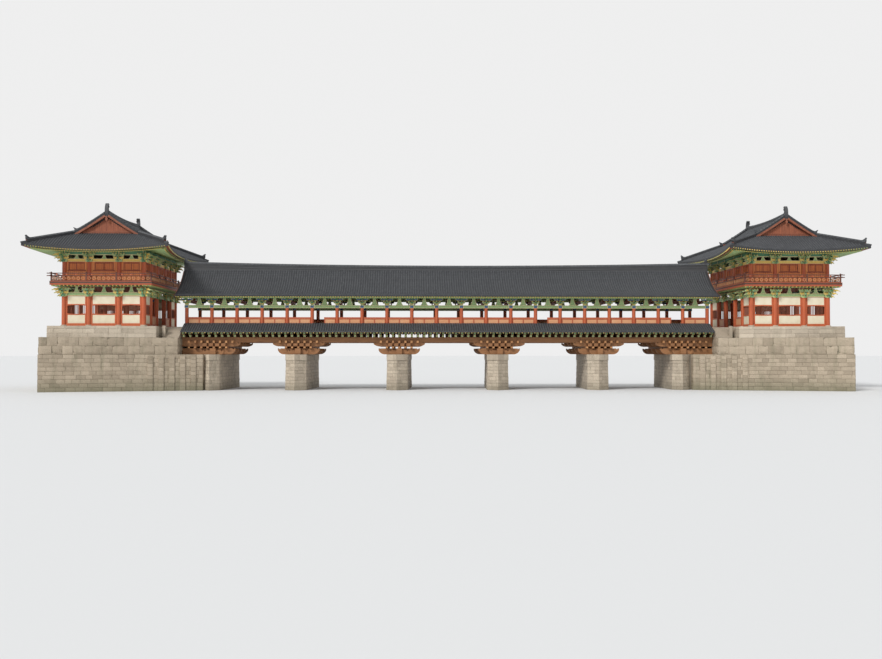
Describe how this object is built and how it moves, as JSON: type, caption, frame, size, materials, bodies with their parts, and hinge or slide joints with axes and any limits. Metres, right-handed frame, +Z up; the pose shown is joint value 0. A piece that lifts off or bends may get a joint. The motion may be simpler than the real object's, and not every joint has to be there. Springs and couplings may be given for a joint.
{
  "type": "roofed timber bridge with two gate pavilions, 1:10 scale model",
  "caption": "Covered walk on boat-shaped stone piers with corbelled timber girders, joining two two-storey gate pavilions with hipped and gabled tile roofs. 1:10 scale model.",
  "frame": {"origin": "middle of the bridge at the level of the water and the ground", "axes": "+X along the bridge to the right pavilion, +Y from the seen face to the far face, +Z up"},
  "size_m": [10.16, 2.36, 2.305],
  "materials": {
    "pale_granite": "dressed ashlar granite, warm beige",
    "rough_granite": "large rough-faced granite blocks",
    "orange_brown_timber": "heavy timber, oiled orange brown",
    "floor_boards": "plain worn boards",
    "red_timber": "timber painted iron red",
    "dark_red_timber": "timber painted dark brown red",
    "orange_boards": "boards painted orange red",
    "painted_brackets": "timber painted green with cream and yellow lines",
    "painted_shutters": "painted board shutters, green and red",
    "cream_plaster": "smooth lime plaster, cream white",
    "charcoal_tiles": "unglazed charcoal roof tiles"
  },
  "bodies": {
    "root": {"abutment_corbel_left": "orange_brown_timber", "abutment_corbel_right": "orange_brown_timber", "abutment_left": "pale_granite", "abutment_right": "pale_granite", "balcony_left": "dark_red_timber", "balcony_rail_left": "dark_red_timber", "balcony_rail_right": "dark_red_timber", "balcony_right": "dark_red_timber", "bank_stairs": "pale_granite", "deck_joists": "painted_brackets", "ground_columns_left": "red_timber", "ground_columns_right": "red_timber", "ground_frieze_left": "painted_brackets", "ground_frieze_right": "painted_brackets", "ground_panels_left": "cream_plaster", "ground_panels_right": "cream_plaster", "main_girders": "orange_brown_timber", "pavilion_ridge_left": "charcoal_tiles", "pavilion_ridge_right": "charcoal_tiles", "pavilion_roof_left": "charcoal_tiles", "pavilion_roof_right": "charcoal_tiles", "pier_1": "pale_granite", "pier_2": "pale_granite", "pier_3": "pale_granite", "pier_4": "pale_granite", "pier_corbel_1": "orange_brown_timber", "pier_corbel_2": "orange_brown_timber", "pier_corbel_3": "orange_brown_timber", "pier_corbel_4": "orange_brown_timber", "podium_left": "pale_granite", "podium_right": "pale_granite", "shutters_left": "painted_shutters", "shutters_right": "painted_shutters", "skirt_roof_back": "charcoal_tiles", "skirt_roof_front": "charcoal_tiles", "terrace_left": "rough_granite", "terrace_right": "rough_granite", "upper_columns_left": "red_timber", "upper_columns_right": "red_timber", "upper_frieze_left": "painted_brackets", "upper_frieze_right": "painted_brackets", "upper_walls_left": "orange_boards", "upper_walls_right": "orange_boards", "walk_columns": "red_timber", "walk_floor": "floor_boards", "walk_frieze_back": "painted_brackets", "walk_frieze_front": "painted_brackets", "walk_purlin_back": "painted_brackets", "walk_purlin_front": "painted_brackets", "walk_rail_back": "red_timber", "walk_rail_front": "red_timber", "walk_ridge": "charcoal_tiles", "walk_roof": "charcoal_tiles", "walk_trusses": "red_timber", "window_jambs_left": "red_timber", "window_jambs_right": "red_timber"}
  },
  "joints": []
}
